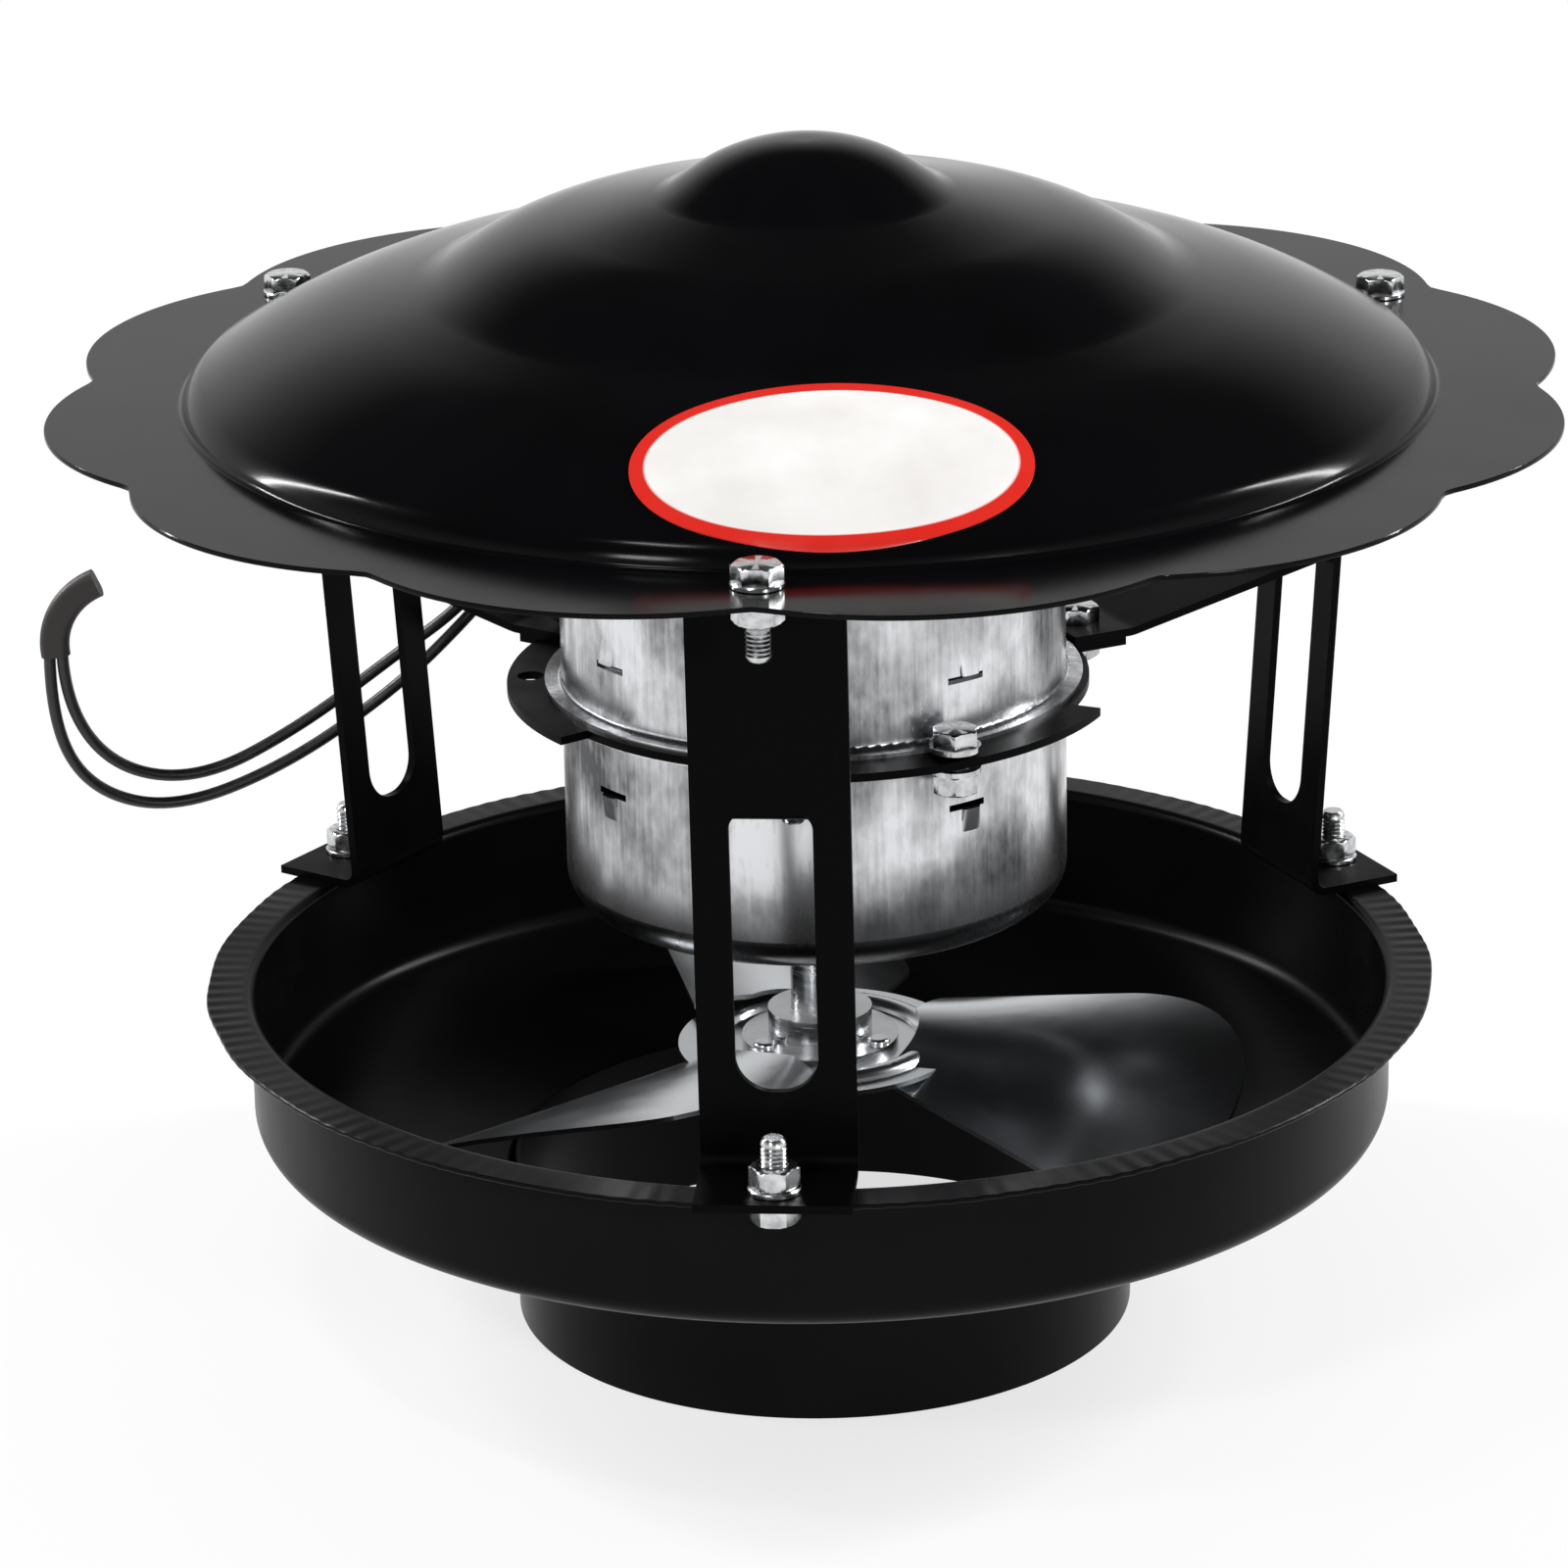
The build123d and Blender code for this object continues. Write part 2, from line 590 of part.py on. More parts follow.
def nodes():
    made = {"base_pan": base_pan(), "neck_collar": neck_collar(), "cap": cap(), "oval_label": oval_label()}
    for side, angle in LEG_ANGLES.items():
        made[side + "_leg"] = leg(angle)
        made[side + "_arm"] = arm(angle)
    made.update(cap_screws())
    made.update(foot_screws())
    made.update(arm_screws())
    made.update(can_screws())
    made["motor_plate"] = motor_plate()
    made["upper_can"] = upper_can()
    made["lower_can"] = lower_can()
    made["lead_grommet"] = lead_grommet()
    made["stator_core"] = stator_core()
    made["stator_coils"] = stator_coils()
    made["upper_bearing"] = bearing(PLATE_TOP + CAN_H - BUSH_H)
    made["lower_bearing"] = bearing(PLATE_Z - CAN_H)
    made["motor_shaft"] = motor_shaft()
    made["rotor_core"] = rotor_core()
    made["fan_hub"] = fan_hub()
    made["hub_rivets"] = hub_rivets()
    made["set_screw"] = set_screw_blank(SET_SCREW_R)
    made["fan_blades"] = fan_blades()
    made["inner_lead"] = lead(INNER_ROUTE)
    made["outer_lead"] = lead(OUTER_ROUTE)
    made["lead_sleeve"] = lead_sleeve()
    return made


os.makedirs("parts", exist_ok=True)
for node, piece in nodes().items():
    export_step(piece, f"parts/{node}.step")
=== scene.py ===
# %% [markdown]
# Chimney exhaust fan
#
# A motor hangs between a scalloped rain cap and a base pan and turns a propeller over the flue collar.
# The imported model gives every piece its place. This lesson dresses it: it sets the camera, lays the two
# lead wires, gives each metal its real finish, and swaps the plain solids that show most for finer meshes.

# %% The frame
import bmesh
import bpy
import math
from mathutils import Matrix, Vector


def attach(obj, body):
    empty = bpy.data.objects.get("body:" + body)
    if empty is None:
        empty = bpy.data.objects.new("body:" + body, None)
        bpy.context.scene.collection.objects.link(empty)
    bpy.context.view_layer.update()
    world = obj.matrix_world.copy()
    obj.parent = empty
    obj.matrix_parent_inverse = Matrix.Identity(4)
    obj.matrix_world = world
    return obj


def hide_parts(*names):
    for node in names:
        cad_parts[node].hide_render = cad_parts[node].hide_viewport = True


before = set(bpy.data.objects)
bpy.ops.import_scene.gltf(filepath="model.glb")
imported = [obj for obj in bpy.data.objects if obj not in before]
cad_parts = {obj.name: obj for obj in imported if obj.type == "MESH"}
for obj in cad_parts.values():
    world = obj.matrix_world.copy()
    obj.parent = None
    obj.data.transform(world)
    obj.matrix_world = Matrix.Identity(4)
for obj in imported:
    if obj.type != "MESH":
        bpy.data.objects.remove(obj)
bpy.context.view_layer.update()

MM = 0.001
scene = bpy.context.scene
scene.view_settings.view_transform = "Standard"

# %% [markdown]
# The camera stands where the photographer stood: about a metre and a half away, a little over the brim,
# with a long lens. Its place is worked out from an elevation, a turn about the fan's axis and a small roll.

# %% Camera
LENS_MM = 149.94
DISTANCE = 1.5631
ELEVATION = math.radians(19.62)
TURN = math.radians(4.6)
ROLL = math.radians(-1.15)
AIM = Vector((-0.0076, 0.0, 0.1321))


def photo_camera():
    data = bpy.data.cameras.new("photo_camera")
    data.lens = LENS_MM
    data.sensor_width = 36.0
    camera = bpy.data.objects.new("photo_camera", data)
    scene.collection.objects.link(camera)
    back = Vector((0, -math.cos(ELEVATION), math.sin(ELEVATION)))
    right = Vector((1, 0, 0))
    up = back.cross(right)
    turned = Matrix((right, up, back)).transposed() @ Matrix.Rotation(ROLL, 3, "Z")
    place = Matrix.Translation(AIM + back * DISTANCE) @ turned.to_4x4()
    camera.matrix_world = Matrix.Rotation(TURN, 4, "Z") @ place
    scene.camera = camera
    return camera


print("camera at", photo_camera().matrix_world.translation)

# %% [markdown]
# Colours are written as sRGB hex values, as a paint chart gives them, and one function turns them into the
# linear values that a shader works in. Another adds a node with its settings and its links. Two more build
# what the finishes share: a random pattern of a real size, and a skin of colour, gloss and relief.

# %% Colour and node helpers
def linear(code):
    parts = [int(code[i:i + 2], 16) / 255 for i in (1, 3, 5)]
    return [p / 12.92 if p <= 0.04045 else ((p + 0.055) / 1.055) ** 2.4 for p in parts] + [1.0]


def add(tree, kind, inputs=None, **settings):
    node = tree.nodes.new(kind)
    for name, value in settings.items():
        setattr(node, name, value)
    for socket, value in (inputs or {}).items():
        if isinstance(value, bpy.types.NodeSocket):
            tree.links.new(value, node.inputs[socket])
        else:
            node.inputs[socket].default_value = value
    return node


def new_finish(name):
    """An empty material and its surface shader."""
    material = bpy.data.materials.new(name)
    material.use_nodes = True
    tree = material.node_tree
    print("finish:", name)
    return material, tree, tree.nodes["Principled BSDF"]


def pattern(tree, size_mm, start=0.3, end=0.7, stretch=(1, 1, 1), detail=3.0):
    """Random grain of a real size, brought from 0 at its start value to 1 at its end value.

    A stretch below 1 draws the grain out along that axis.
    """
    coords = add(tree, "ShaderNodeTexCoord")
    mapped = add(tree, "ShaderNodeMapping", {"Vector": coords.outputs["Object"], "Scale": stretch})
    noise = add(tree, "ShaderNodeTexNoise",
                {"Vector": mapped.outputs[0], "Scale": 1 / (size_mm * MM), "Detail": detail})
    ranged = add(tree, "ShaderNodeMapRange", {"Value": noise.outputs["Fac"], 1: start, 2: end})
    return ranged.outputs[0]


def skin(tree, shader, tint, colours, gloss, rough, height, relief):
    """Colour, roughness and relief of a surface.

    Tint and gloss run from 0 to 1, between two hex colours and between two roughness values. Relief is a
    strength and a depth in millimetres.
    """
    dark, light = (linear(code) for code in colours)
    colour = add(tree, "ShaderNodeMix", {0: tint, 6: dark, 7: light}, data_type="RGBA")
    roughness = add(tree, "ShaderNodeMapRange", {"Value": gloss, 3: rough[0], 4: rough[1]})
    raised = add(tree, "ShaderNodeBump",
                 {"Height": height, "Strength": relief[0], "Distance": relief[1] * MM})
    tree.links.new(colour.outputs[2], shader.inputs["Base Color"])
    tree.links.new(roughness.outputs[0], shader.inputs["Roughness"])
    tree.links.new(raised.outputs[0], shader.inputs["Normal"])


# %% [markdown]
# Satin black enamel covers the pressed sheet: cap, pan and collar. Sprayed enamel is never mirror flat. It
# has a faint orange peel, about two millimetres from crest to crest, and dust and handling leave the gloss
# uneven. Its mirror is weak, so it stays black beside bright metal.

# %% Satin black enamel
BLACK_SPECULAR = 0.06
TINT_MM = 45
SMEAR_MM = 28
PEEL_MM = 1.8
PEEL_RELIEF = (0.06, 0.04)


def black_enamel(name, rough):
    material, tree, shader = new_finish(name)
    smears = pattern(tree, SMEAR_MM, detail=6)
    peel = pattern(tree, PEEL_MM, 0, 1, detail=2)
    skin(tree, shader, pattern(tree, TINT_MM), ("#060607", "#0A0A0C"), smears, rough, peel, PEEL_RELIEF)
    shader.inputs["Specular IOR Level"].default_value = BLACK_SPECULAR
    return material


cap_enamel = black_enamel("cap_enamel", (0.11, 0.17))
pan_enamel = black_enamel("pan_enamel", (0.26, 0.34))

# %% [markdown]
# The legs, arms and motor plate are flat strip, dipped in a duller black paint. It lies thicker, and it
# scuffs to grey in small specks.

# %% Dull black paint
SPECK_MM = 0.9
SPECK_RANGE = (0.7, 0.76)
SCUFF_MM = 14
DIP_MM = 1.1
DIP_RELIEF = (0.15, 0.05)


def dull_black_paint():
    material, tree, shader = new_finish("dull_black_paint")
    specks = pattern(tree, SPECK_MM, *SPECK_RANGE, detail=5)
    skin(tree, shader, specks, ("#050506", "#151517"), pattern(tree, SCUFF_MM, detail=5), (0.3, 0.42),
         pattern(tree, DIP_MM, 0, 1), DIP_RELIEF)
    shader.inputs["Specular IOR Level"].default_value = BLACK_SPECULAR / 2
    return material


paint = dull_black_paint()

# %% [markdown]
# The motor cans are drawn from galvanised sheet. Zinc freezes in spangles, and drawing the cup drags them
# into upright streaks and rubs whole patches, a few centimetres across, dull or bright. Towards the lower
# can's bottom the colour is darkened, up to a ragged edge: painted shade that stands for the black pan's dark
# reflection.

# %% Galvanised sheet
PATCH_MM, PATCH_SHARE = 26, 0.74
SPANGLE_MM, SPANGLE_SHARE = 1.8, 0.12
STREAK_MM, STREAK_SHARE = 1.2, 0.14
DULL_AT, BRIGHT_AT = 0.36, 0.6
# Painted shade low on the lower can: the heights over which it fades out, and its darkest tone.
SHADE_BAND = (124 * MM, 150 * MM)
SHADE_TONE = 0.12
RAGGED = 30 * MM
ZINC_RELIEF = (0.3, 0.12)


def galvanised_sheet():
    material, tree, shader = new_finish("galvanised_sheet")
    patches = pattern(tree, PATCH_MM, 0, 1, (1, 1, 0.8))
    spangle = pattern(tree, SPANGLE_MM, 0, 1, (1, 1, 0.5), 4)
    streaks = pattern(tree, STREAK_MM, 0, 1, (1, 1, 0.04), 5)
    mixed = 0.0
    for grain, share in ((patches, PATCH_SHARE), (spangle, SPANGLE_SHARE), (streaks, STREAK_SHARE)):
        summed = add(tree, "ShaderNodeMath", {0: grain, 1: share, 2: mixed}, operation="MULTIPLY_ADD")
        mixed = summed.outputs[0]
    bright = add(tree, "ShaderNodeMapRange", {"Value": mixed, 1: DULL_AT, 2: BRIGHT_AT}).outputs[0]
    coords = add(tree, "ShaderNodeTexCoord")
    height = add(tree, "ShaderNodeSeparateXYZ", {0: coords.outputs["Object"]}).outputs[2]
    # Painted shade: the colour darkens towards the bottom of the lower can, below a ragged edge.
    edge = add(tree, "ShaderNodeMath", {0: patches, 1: RAGGED, 2: height}, operation="MULTIPLY_ADD")
    painted_shade = add(tree, "ShaderNodeMapRange",
                {"Value": edge.outputs[0], 1: SHADE_BAND[0], 2: SHADE_BAND[1], 3: SHADE_TONE, 4: 1.0})
    tone = add(tree, "ShaderNodeMath", {0: bright, 1: painted_shade.outputs[0]}, operation="MULTIPLY").outputs[0]
    skin(tree, shader, tone, ("#505153", "#E2E3E6"), bright, (0.36, 0.2), mixed, ZINC_RELIEF)
    shader.inputs["Metallic"].default_value = 1.0
    return material


galvanised = galvanised_sheet()

# %% [markdown]
# Screws are bright zinc plate, the shaft is ground steel, and the fan is bare rolled aluminium, smooth and a
# little dull. All are metals, so colour comes from what they reflect, and small changes in roughness show.

# %% Bare metals
METAL_DETAIL = 4
METAL_RELIEF = 0.2


def bare_metal(name, colours, rough, size_mm, stretch=(1, 1, 1), depth_mm=0.03):
    material, tree, shader = new_finish(name)
    tint = pattern(tree, size_mm, stretch=stretch, detail=METAL_DETAIL)
    height = pattern(tree, size_mm, 0, 1, stretch, METAL_DETAIL)
    skin(tree, shader, tint, colours, tint, rough, height, (METAL_RELIEF, depth_mm))
    shader.inputs["Metallic"].default_value = 1.0
    return material


zinc_plate = bare_metal("bright_zinc_plate", ("#A9ABAD", "#E2E3E4"), (0.14, 0.3), 2.5)
ground_steel = bare_metal("ground_steel", ("#9B9C9E", "#C9CACC"), (0.16, 0.3), 1.2, (0.1, 0.1, 1))
rolled_aluminium = bare_metal("rolled_aluminium", ("#BCBFC2", "#C4C7CA"), (0.2, 0.23), 14.0, depth_mm=0.001)
bronze = bare_metal("sintered_bronze", ("#7A5A2C", "#A9854A"), (0.4, 0.55), 0.8)
core_steel = bare_metal("lamination_steel", ("#5B5D61", "#85878A"), (0.4, 0.5), 0.6, (0.05, 0.05, 1))
copper = bare_metal("enamelled_copper", ("#7C3A1B", "#B4673A"), (0.25, 0.35), 0.9, (1, 1, 0.1))

# %% [markdown]
# The leads have soft black PVC over stranded copper, and the sleeve at their end is a brown-black rubber.

# %% Rubber and plastic
PLASTIC_MM = 2.2
PLASTIC_DETAIL = 4
PLASTIC_RELIEF = (0.15, 0.05)


def soft_plastic(name, colours, rough):
    material, tree, shader = new_finish(name)
    tint = pattern(tree, PLASTIC_MM, detail=PLASTIC_DETAIL)
    height = pattern(tree, PLASTIC_MM, 0, 1, detail=PLASTIC_DETAIL)
    skin(tree, shader, tint, colours, tint, rough, height, PLASTIC_RELIEF)
    return material


lead_pvc = soft_plastic("lead_pvc", ("#070707", "#121213"), (0.34, 0.46))
sleeve_rubber = soft_plastic("sleeve_rubber", ("#0C0807", "#1A100E"), (0.45, 0.57))

# %% [markdown]
# Each lead is one smooth NURBS line through the route's points, with a round bevel for its skin. The wires
# leave the grommet side by side, pass behind the left leg, droop, and curl up into the sleeve.

# %% Lead wires
LEAD_D = 3.0 * MM
INNER_ROUTE = (
    (-43.9, 44.5, 197.0), (-55.9, 56.6, 197.0), (-73.0, 70.0, 178.0), (-93.0, 83.0, 150.5),
    (-112.5, 90.5, 134.0), (-136.5, 81.5, 117.5), (-161.0, 71.5, 106.5), (-180.5, 60.0, 113.0),
    (-190.5, 51.0, 132.5), (-190.0, 47.5, 147.5),
)
OUTER_ROUTE = (
    (-43.9, 44.5, 193.0), (-55.9, 56.6, 193.0), (-73.0, 71.5, 172.0), (-93.0, 85.0, 146.0),
    (-112.5, 92.0, 125.0), (-140.0, 81.0, 107.5), (-168.0, 71.0, 98.5), (-187.0, 59.5, 107.5),
    (-194.5, 51.0, 128.0), (-193.2, 47.5, 147.5),
)


def lead_wire(name, route, length_mm, node):
    curve = bpy.data.curves.new(name, "CURVE")
    curve.dimensions = "3D"
    curve.bevel_depth = LEAD_D / 2
    curve.bevel_resolution = 5
    curve.resolution_u = 10
    curve.use_fill_caps = True
    spline = curve.splines.new("NURBS")
    spline.points.add(len(route) - 1)
    for point, place in zip(spline.points, route):
        point.co = (place[0] * MM, place[1] * MM, place[2] * MM, 1)
    spline.order_u = 3
    spline.use_endpoint_u = True
    curve.materials.append(lead_pvc)
    wire = bpy.data.objects.new(name, curve)
    scene.collection.objects.link(wire)
    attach(wire, "housing")
    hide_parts(node)
    print(name, "length", length_mm, "mm")


lead_wire("inner_wire", INNER_ROUTE, 226, "inner_lead")
lead_wire("outer_wire", OUTER_ROUTE, 240, "outer_lead")

# %% [markdown]
# Pressed sheet is easiest to draw as a half section that is spun about the axis. The section is a short
# list of corners, each with a bend radius, so the first helper turns corners into points along true arcs.
# The next gives the sheet its thickness, and the third spins the section. A ripple function may move the
# points, for a scalloped or crimped edge.

# %% Spinning helpers
MERGE = 1e-6
SLIVER = 1e-7


def eased(corners, step_deg=4.0):
    """Points along a path of (x, z, radius) corners, with an arc at each corner that has a radius."""
    points = []
    for i, (x, z, radius) in enumerate(corners):
        here = Vector((x, z))
        if radius == 0 or i in (0, len(corners) - 1):
            points.append(here)
            continue
        a = (Vector(corners[i - 1][:2]) - here).normalized()
        b = (Vector(corners[i + 1][:2]) - here).normalized()
        half = a.angle(b) / 2
        centre = here + (a + b).normalized() * radius / math.sin(half)
        start = here + a * radius / math.tan(half) - centre
        end = here + b * radius / math.tan(half) - centre
        sweep = start.angle_signed(end)
        steps = max(3, int(abs(math.degrees(sweep)) / step_deg) + 1)
        for k in range(steps + 1):
            points.append(centre + Matrix.Rotation(-sweep * k / steps, 2) @ start)
    return points


def thickened(path, thickness):
    """Closed section: a path and its copy, moved to the right of the way it runs."""
    other = []
    for i, here in enumerate(path):
        along = (path[min(i + 1, len(path) - 1)] - path[max(i - 1, 0)]).normalized()
        other.append(here + Vector((along.y, -along.x)) * thickness)
    return path + other[::-1]


def spin(name, section, segments, material, ripple=None, closed=True):
    """Round mesh from a half section in metres; points on the axis become one vertex."""
    mesh = bpy.data.meshes.new(name)
    made = bmesh.new()
    rings = []
    for k in range(segments):
        angle = 2 * math.pi * k / segments
        ring = []
        for x, z in section:
            x, z = ripple(x, z, angle) if ripple else (x, z)
            ring.append(made.verts.new((x * math.cos(angle), x * math.sin(angle), z)))
        rings.append(ring)
    count = len(section)
    for k in range(segments):
        near, far = rings[k], rings[(k + 1) % segments]
        for i in range(count if closed else count - 1):
            j = (i + 1) % count
            made.faces.new((near[i], near[j], far[j], far[i]))
    bmesh.ops.remove_doubles(made, verts=made.verts, dist=MERGE)
    bmesh.ops.dissolve_degenerate(made, edges=made.edges, dist=SLIVER)
    bmesh.ops.recalc_face_normals(made, faces=made.faces)
    made.to_mesh(mesh)
    made.free()
    return piece(name, mesh, material)


def piece(name, mesh, material, smooth_deg=32):
    mesh.materials.clear()
    mesh.materials.append(material)
    mesh.shade_smooth()
    mesh.set_sharp_from_angle(angle=math.radians(smooth_deg))
    made = bpy.data.objects.new(name, mesh)
    scene.collection.objects.link(made)
    return made


def stand_for(made, slot, body, *nodes):
    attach(made, body)
    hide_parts(*nodes)
    print(made.name, "faces", len(made.data.polygons))


# %% [markdown]
# The cap is one pressing: a knob and two rounded tiers stand on a flat brim with twelve scallops. Each
# scallop is an arc whose centre lies part of the way out, so the brim's radius at any angle is a formula,
# and a soft maximum of neighbouring arcs rounds the cusp between them, as the press tool does.

# %% Rain cap
BRIM_Z = 231.9 * MM
SHEET = 1.2 * MM
BRIM_R = 178.5 * MM
LOBE_R = 70.0 * MM
LOBES = 12
CUSP = 0.7 * MM
EDGE_OUT = 0.1 * MM
CAP_SEGMENTS = 384
DOME_STEP_DEG = 2.0
FLAT_FROM = 150.0 * MM
FLAT_TO = 168.0 * MM
DOME = ((0, 58.7, 0), (15.3, 58.7, 44), (33.5, 46.4, 14), (69.9, 38.4, 70), (88.5, 26.9, 25),
        (120.5, 18.9, 130), (144.9, 4.75, 10), (146.6, 0, 1.5), (150.0, 0, 0), (168.0, 0, 0))
dome_path = eased([(x * MM, BRIM_Z + z * MM, r * MM) for x, z, r in DOME], DOME_STEP_DEG)


def scallop(angle):
    reach = BRIM_R - LOBE_R
    total = 0
    for side in (-1, 0, 1):
        step = 2 * math.pi / LOBES
        off = (angle / step) % 1 - 0.5
        away = (off + side) * step
        radius = reach * math.cos(away) + math.sqrt(max(LOBE_R**2 - (reach * math.sin(away))**2, 0))
        total += math.exp((radius - BRIM_R) / CUSP)
    return BRIM_R + CUSP * math.log(total)


def scalloped(x, z, angle):
    if x > FLAT_FROM:
        x = FLAT_FROM + (x - FLAT_FROM) * (scallop(angle) - FLAT_FROM) / (FLAT_TO - FLAT_FROM)
    return x, z


def rain_cap():
    lower = thickened(dome_path, SHEET)[len(dome_path):]
    lower = [Vector((max(p.x, 0), p.y)) for p in lower]
    edge = [Vector((FLAT_TO + EDGE_OUT, BRIM_Z - SHEET * share)) for share in (0.2, 0.5, 0.8)]
    cap = spin("rain_cap", dome_path + edge + lower, CAP_SEGMENTS, cap_enamel, scalloped, closed=False)
    stand_for(cap, "black_paint", "housing", "cap")


rain_cap()

# %% [markdown]
# The base pan is a drawn dish with a dished floor and a narrow rim that turns out. Turning the rim out
# stretches it, so its edge carries a row of shallow radial crimps.

# %% Base pan and collar
RIM_Z = 85.6 * MM
RIM_FROM = 138.5 * MM
RIM_R = 147.2 * MM
CRIMPS = 170
CRIMP_DEPTH = 0.14 * MM
CRIMP_MEAN, CRIMP_SWING = 0.55, 0.45
SWING_WAVES, SWING_TURN, SWELL_WAVES = 3, 0.8, 7
EDGE_WAVES = 23
EDGE_WAVE = 0.3 * MM
LIP_OUT = 0.25 * MM
PAN_SEGMENTS = 1020
PAN_STEP_DEG = 7.0
COLLAR_SEGMENTS = 240
COLLAR_EASE = 0.4
COLLAR = ((73.8, 20), (73.8, 0), (75, 0), (75, 39), (73.8, 39))
PAN = ((76.3, 26, 0), (76.3, 36, 2), (137.4, 52, 6), (137.4, 84.4, 1.0), (139.5, 84.4, 0), (147.2, 84.4, 0))


def crimped(x, z, angle):
    """Crimps on the rim, deeper in some places than in others, and an edge that is not quite round."""
    share = max(0, (x - RIM_FROM) / (RIM_R - RIM_FROM))
    swing = math.sin(SWING_WAVES * angle + SWING_TURN) * math.sin(SWELL_WAVES * angle)
    wander = CRIMP_MEAN + CRIMP_SWING * swing
    x += share * wander * EDGE_WAVE * math.sin(EDGE_WAVES * angle)
    z += share * wander * CRIMP_DEPTH * math.sin(CRIMPS * angle)
    return x, z


def base_pan():
    outer = eased([(x * MM, z * MM, r * MM) for x, z, r in PAN], PAN_STEP_DEG)
    inner = thickened(outer, -SHEET)[len(outer):]
    lip = [Vector((RIM_R + LIP_OUT, RIM_Z - SHEET * share)) for share in (0.75, 0.5, 0.25)]
    pan = spin("drawn_pan", outer + lip + inner, PAN_SEGMENTS, pan_enamel, crimped)
    stand_for(pan, "black_paint", "housing", "base_pan")


def flue_collar():
    section = eased([(x * MM, z * MM, COLLAR_EASE * MM) for x, z in COLLAR])
    collar = spin("flue_collar", section, COLLAR_SEGMENTS, pan_enamel)
    stand_for(collar, "black_paint", "housing", "neck_collar")


base_pan()
flue_collar()

# %% [markdown]
# The oval label is a thin vinyl skin that follows the dome's lower tier: a white field inside a red ring,
# with nothing printed on it. It is a polar grid of a flat oval, dropped on the dome, and its UV map
# holds the place across the oval, so the ring is the part outside a smaller oval.

# %% Oval label
LABEL_W = 88.0 * MM
LABEL_H = 57.0 * MM
LABEL_R = 118.5 * MM
LABEL_FALL = math.radians(23)
LABEL_ANGLE = math.radians(276.6)
LABEL_LIFT = 0.3 * MM
LABEL_RINGS = 24
LABEL_STEPS = 160
RING_W = 3.3 * MM
RING_EDGE = 0.008
FIELD_MM = 22
GLOSS_MM = 9


def dome_height(radius):
    for a, b in zip(dome_path, dome_path[1:]):
        if a.x <= radius <= b.x and b.x > a.x:
            return a.y + (b.y - a.y) * (radius - a.x) / (b.x - a.x)
    return BRIM_Z


def label_vinyl():
    material, tree, shader = new_finish("label_vinyl")
    uv = add(tree, "ShaderNodeUVMap", uv_map="oval")
    field_share = (LABEL_W / (LABEL_W - 2 * RING_W), LABEL_H / (LABEL_H - 2 * RING_W), 0)
    scaled = add(tree, "ShaderNodeVectorMath", {0: uv.outputs[0], 1: field_share}, operation="MULTIPLY")
    reach = add(tree, "ShaderNodeVectorMath", {0: scaled.outputs[0]}, operation="LENGTH").outputs["Value"]
    ring = add(tree, "ShaderNodeMapRange", {"Value": reach, 1: 1 - RING_EDGE, 2: 1 + RING_EDGE})
    tint = pattern(tree, FIELD_MM, detail=4)
    field = add(tree, "ShaderNodeMix", {0: tint, 6: linear("#F6F4F2"), 7: linear("#E6E3E0")},
                data_type="RGBA")
    colour = add(tree, "ShaderNodeMix", {0: ring.outputs[0], 6: field.outputs[2], 7: linear("#D9261B")},
                 data_type="RGBA")
    rough = add(tree, "ShaderNodeMapRange", {"Value": pattern(tree, GLOSS_MM), 3: 0.3, 4: 0.42})
    tree.links.new(colour.outputs[2], shader.inputs["Base Color"])
    tree.links.new(rough.outputs[0], shader.inputs["Roughness"])
    return material


def oval_label():
    mesh = bpy.data.meshes.new("oval_sticker")
    made = bmesh.new()
    uv = made.loops.layers.uv.new("oval")

    def lay(reach, step, lift):
        turn = 2 * math.pi * step / LABEL_STEPS
        ahead = LABEL_R - reach * LABEL_H / 2 * math.sin(turn) * math.cos(LABEL_FALL)
        aside = reach * LABEL_W / 2 * math.cos(turn)
        radius = math.hypot(ahead, aside)
        angle = LABEL_ANGLE + math.atan2(aside, ahead)
        height = dome_height(radius) + lift
        return made.verts.new((radius * math.cos(angle), radius * math.sin(angle), height))

    rings = [(reach / LABEL_RINGS, LABEL_LIFT) for reach in range(LABEL_RINGS + 1)] + [(1.0, -LABEL_LIFT)]
    grid = [[lay(reach, step, lift) for step in range(LABEL_STEPS)] for reach, lift in rings]
    for i, (near, far) in enumerate(zip(grid, grid[1:])):
        for k in range(LABEL_STEPS):
            j = (k + 1) % LABEL_STEPS
            face = made.faces.new((near[k], far[k], far[j], near[j]))
            for loop, row, step in zip(face.loops, (i, i + 1, i + 1, i), (k, k, j, j)):
                turn = 2 * math.pi * step / LABEL_STEPS
                loop[uv].uv = (rings[row][0] * math.cos(turn), rings[row][0] * math.sin(turn))
    bmesh.ops.remove_doubles(made, verts=made.verts, dist=MERGE)
    bmesh.ops.recalc_face_normals(made, faces=made.faces)
    made.to_mesh(mesh)
    made.free()
    stand_for(piece("oval_sticker", mesh, label_vinyl(), 50), "label_vinyl", "housing", "oval_label")


oval_label()

# %% [markdown]
# Every screw joint repeats round the axis, so one bolt, nut or washer is drawn once and a Geometry Nodes
# tree sets it out: a circle of points, an instance on each, turned to face the axis. A count and a keep
# number leave holes empty where the real one has no bolt.

